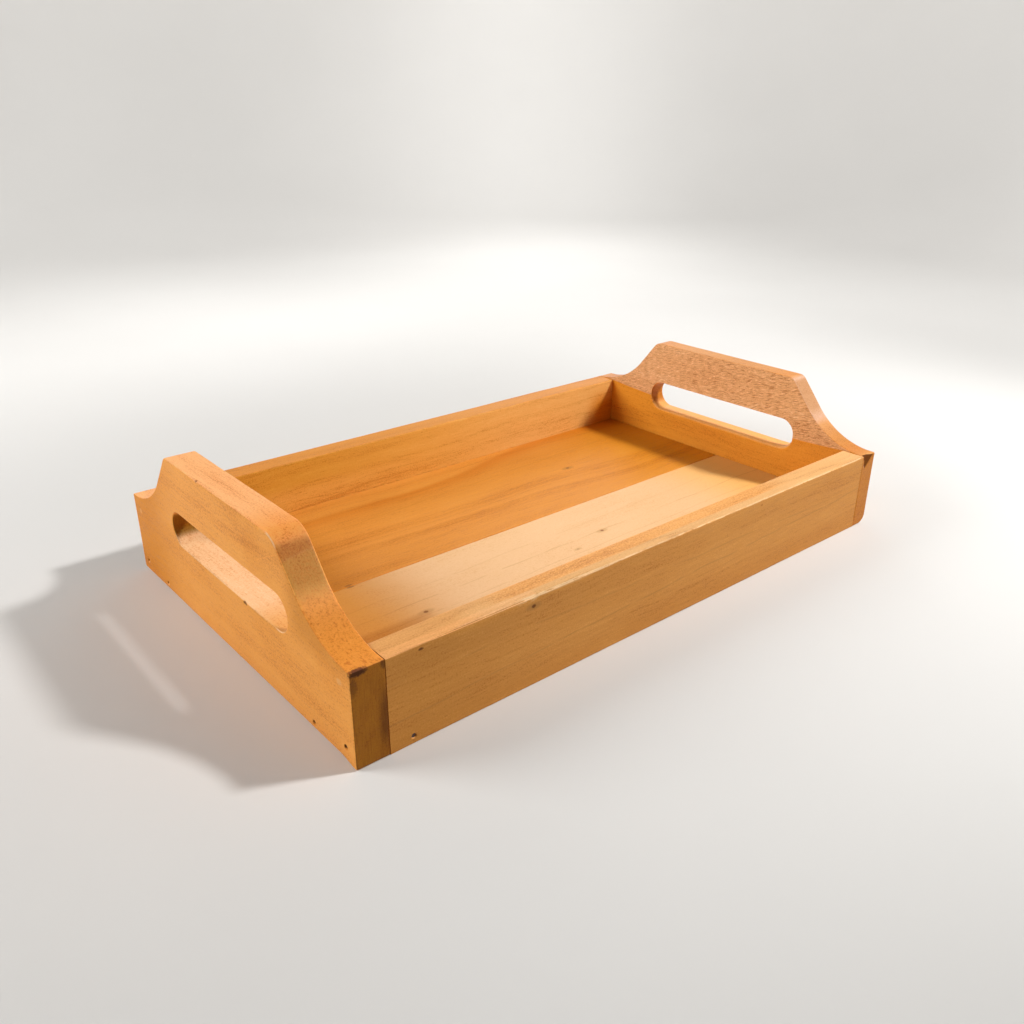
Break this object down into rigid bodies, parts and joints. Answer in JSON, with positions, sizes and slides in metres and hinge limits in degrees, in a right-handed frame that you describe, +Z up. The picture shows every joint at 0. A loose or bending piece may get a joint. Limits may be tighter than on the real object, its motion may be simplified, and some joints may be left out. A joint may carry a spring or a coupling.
{
  "type": "serving tray",
  "caption": "Rectangular wooden serving tray with raised ends, each cut through with a long finger slot, low rails and a flat boarded bottom.",
  "frame": {"origin": "middle of the underside, on the surface the tray stands on", "axes": "+X along the tray from the left end board to the right one, -Y the front rail, +Z up"},
  "size_m": [0.412, 0.25, 0.0938],
  "materials": {
    "end_board_orange": "orange-tan solid hardwood, sanded smooth, thin satin oil",
    "end_board_rose": "pinkish-brown solid hardwood, rough-sawn inner face above the rails, sanded edges",
    "rail_tan": "tan solid hardwood with fine lengthwise grain, sanded, thin satin oil",
    "floor_pale": "pale cream solid hardwood, planed, thin satin oil",
    "floor_warm": "orange-brown solid hardwood, planed, thin satin oil",
    "brad_steel": "dull dark steel wire brads, set below the surface"
  },
  "bodies": {
    "root": {"left_end_board": "end_board_orange", "right_end_board": "end_board_rose", "front_rail": "rail_tan", "back_rail": "rail_tan", "bottom_board_front": "floor_pale", "bottom_board_rear": "floor_warm", "corner_brad_left_front_low": "brad_steel", "corner_brad_left_front_high": "brad_steel", "corner_brad_left_back_low": "brad_steel", "corner_brad_left_back_high": "brad_steel", "corner_brad_right_front_low": "brad_steel", "corner_brad_right_front_high": "brad_steel", "corner_brad_right_back_low": "brad_steel", "corner_brad_right_back_high": "brad_steel", "end_floor_brad_left_front": "brad_steel", "end_floor_brad_left_rear": "brad_steel", "end_floor_brad_right_front": "brad_steel", "end_floor_brad_right_rear": "brad_steel", "rail_floor_brad_front_left": "brad_steel", "rail_floor_brad_front_right": "brad_steel", "rail_floor_brad_back_left": "brad_steel", "rail_floor_brad_back_right": "brad_steel"}
  },
  "joints": []
}
